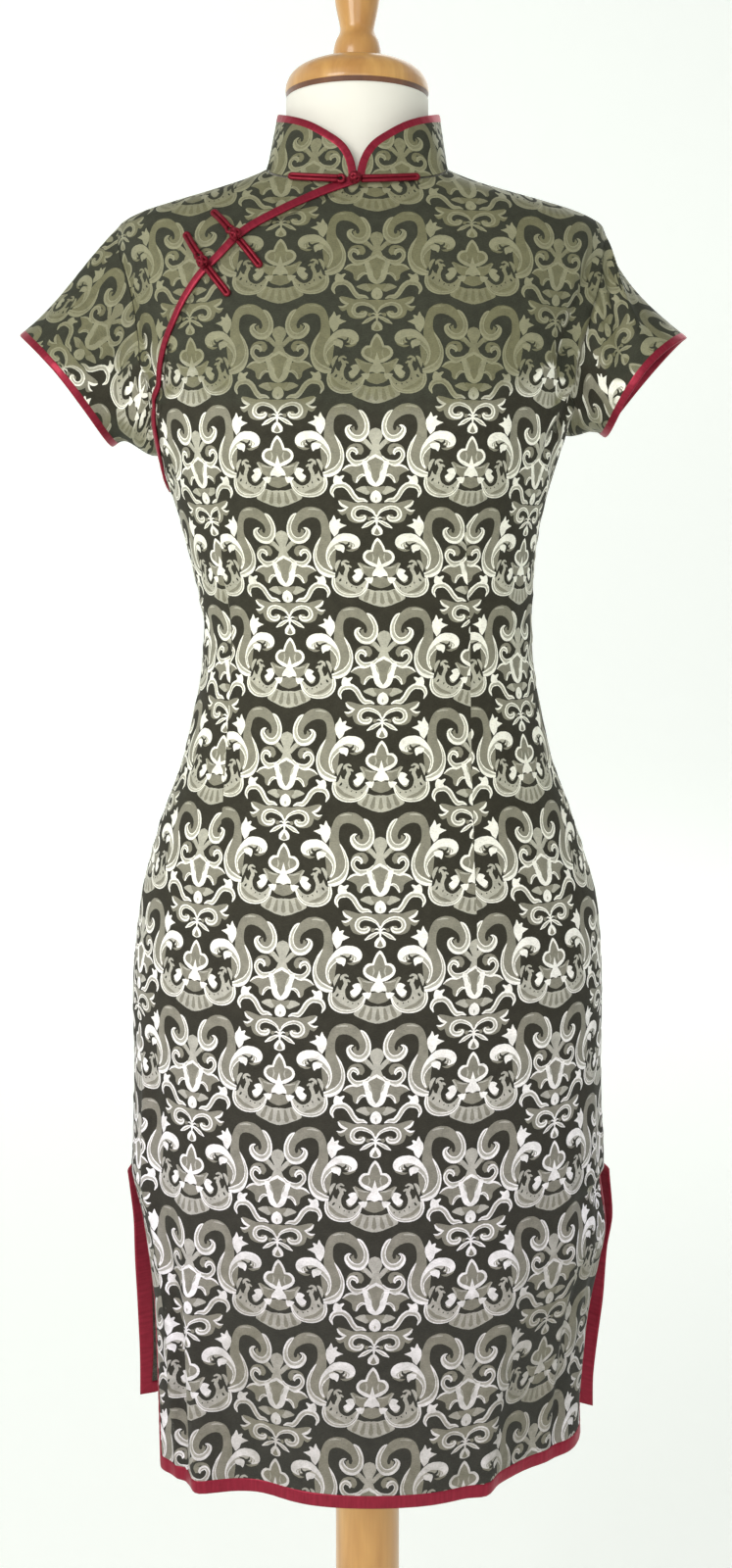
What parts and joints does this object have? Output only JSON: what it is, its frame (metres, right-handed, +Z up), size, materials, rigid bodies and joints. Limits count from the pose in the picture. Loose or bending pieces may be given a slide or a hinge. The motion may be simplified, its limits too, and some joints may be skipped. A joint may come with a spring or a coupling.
{
  "type": "cheongsam dress on a dress form",
  "caption": "Short-sleeved brocade cheongsam with a stand collar, side slits, satin bindings and frog fastenings, on a limbless dress form with a wooden stand.",
  "frame": {"origin": "centre of the wooden base's underside, on the floor, under the form's middle", "axes": "+Z up, -Y towards whoever faces the dress, +X to that person's right; the dress opens towards -X"},
  "size_m": [0.5018, 0.34, 1.529],
  "materials": {
    "brocade": "figured damask weave, satin figures on a dull ground",
    "satin": "satin",
    "jersey": "matt",
    "wood": "varnished"
  },
  "bodies": {
    "root": {"front": "brocade", "front_underlap": "brocade", "back": "brocade", "sleeve_left": "brocade", "sleeve_right": "brocade", "collar": "brocade", "placket_binding": "satin", "front_skirt_binding": "satin", "back_skirt_binding": "satin", "sleeve_left_binding": "satin", "sleeve_right_binding": "satin", "collar_binding": "satin", "frog_1_knot": "satin", "frog_1_loop": "satin", "frog_2_knot": "satin", "frog_2_loop": "satin", "frog_3_knot": "satin", "frog_3_loop": "satin", "form": "jersey", "neck_cap": "wood", "finial": "wood", "base": "wood", "post": "wood"}
  },
  "joints": []
}
